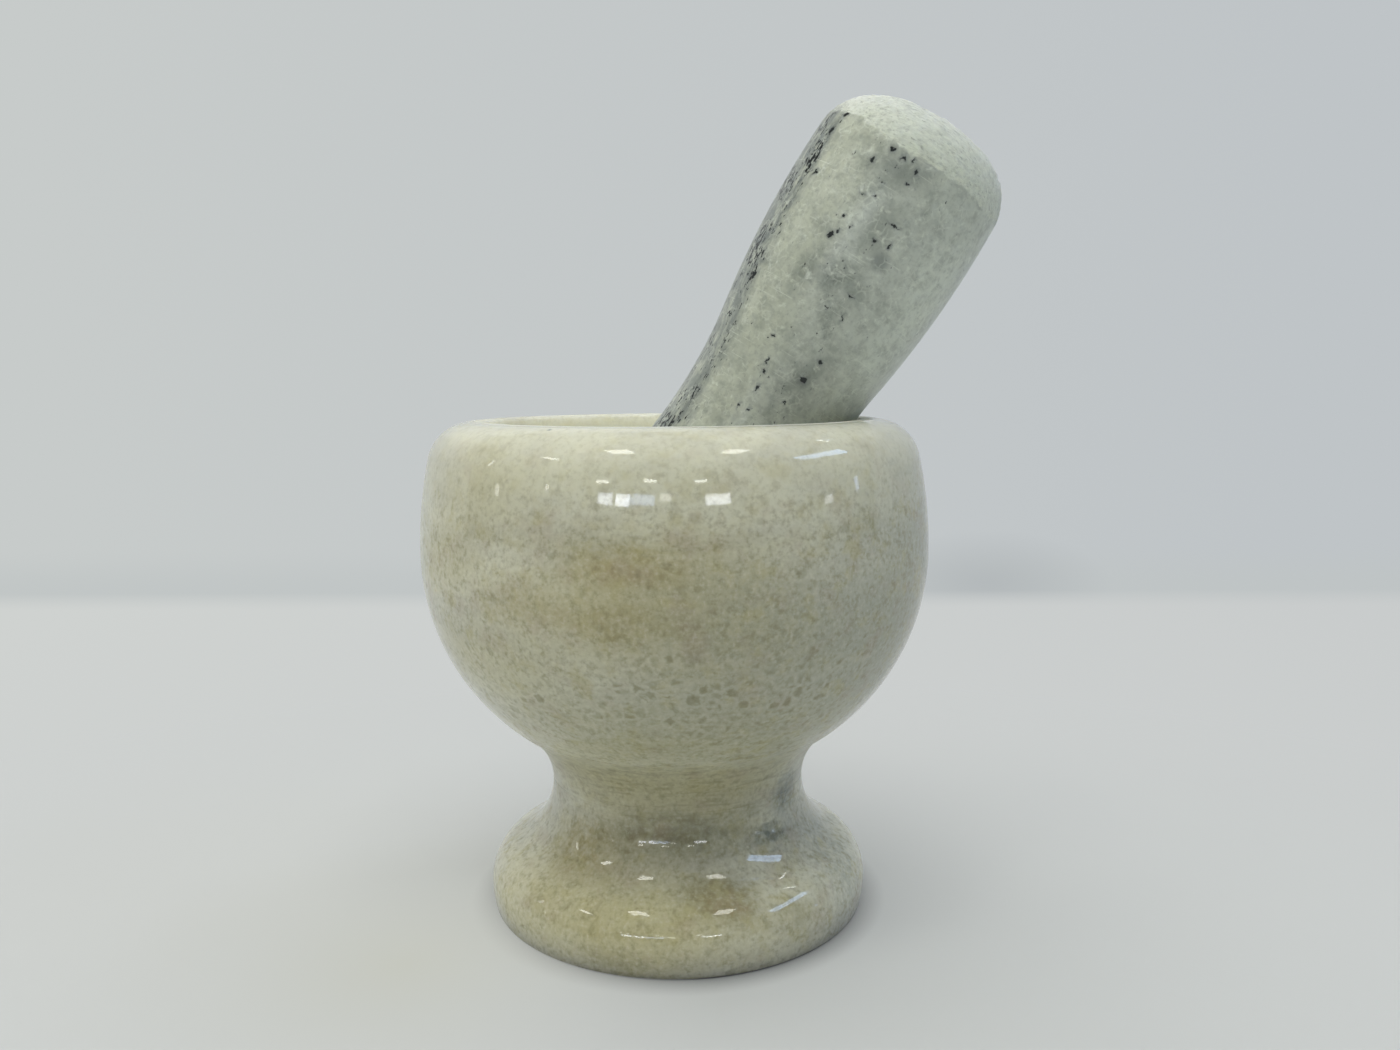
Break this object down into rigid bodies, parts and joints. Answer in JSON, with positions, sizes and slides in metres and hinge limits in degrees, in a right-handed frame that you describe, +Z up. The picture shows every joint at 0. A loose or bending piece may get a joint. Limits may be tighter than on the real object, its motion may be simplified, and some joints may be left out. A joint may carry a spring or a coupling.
{
  "type": "mortar and pestle",
  "caption": "Turned marble mortar with a round bowl on a waisted, spreading foot, and a loose waisted marble pestle leaning in its mouth, for crushing spices and herbs by hand.",
  "frame": {"origin": "centre of the foot's flat underside, on the mortar's turning axis", "axes": "+Z up along the mortar's turning axis, +X to the side that the pestle leans over, seen from the front; -Y towards the viewer"},
  "size_m": [0.1124, 0.1, 0.1577],
  "materials": {
    "cream_marble": "high polish outside, honed matte inside the cavity",
    "veined_marble": "satin polish on the shaft, rough and unpolished on both domed ends"
  },
  "bodies": {
    "mortar": {"mortar": "cream_marble"},
    "pestle": {"pestle": "veined_marble"}
  },
  "joints": [
    {"name": "pestle_lift", "type": "slide", "parent": "mortar", "child": "pestle", "axis": [0, 0, 1], "range_m": [0, 0.08]}
  ]
}
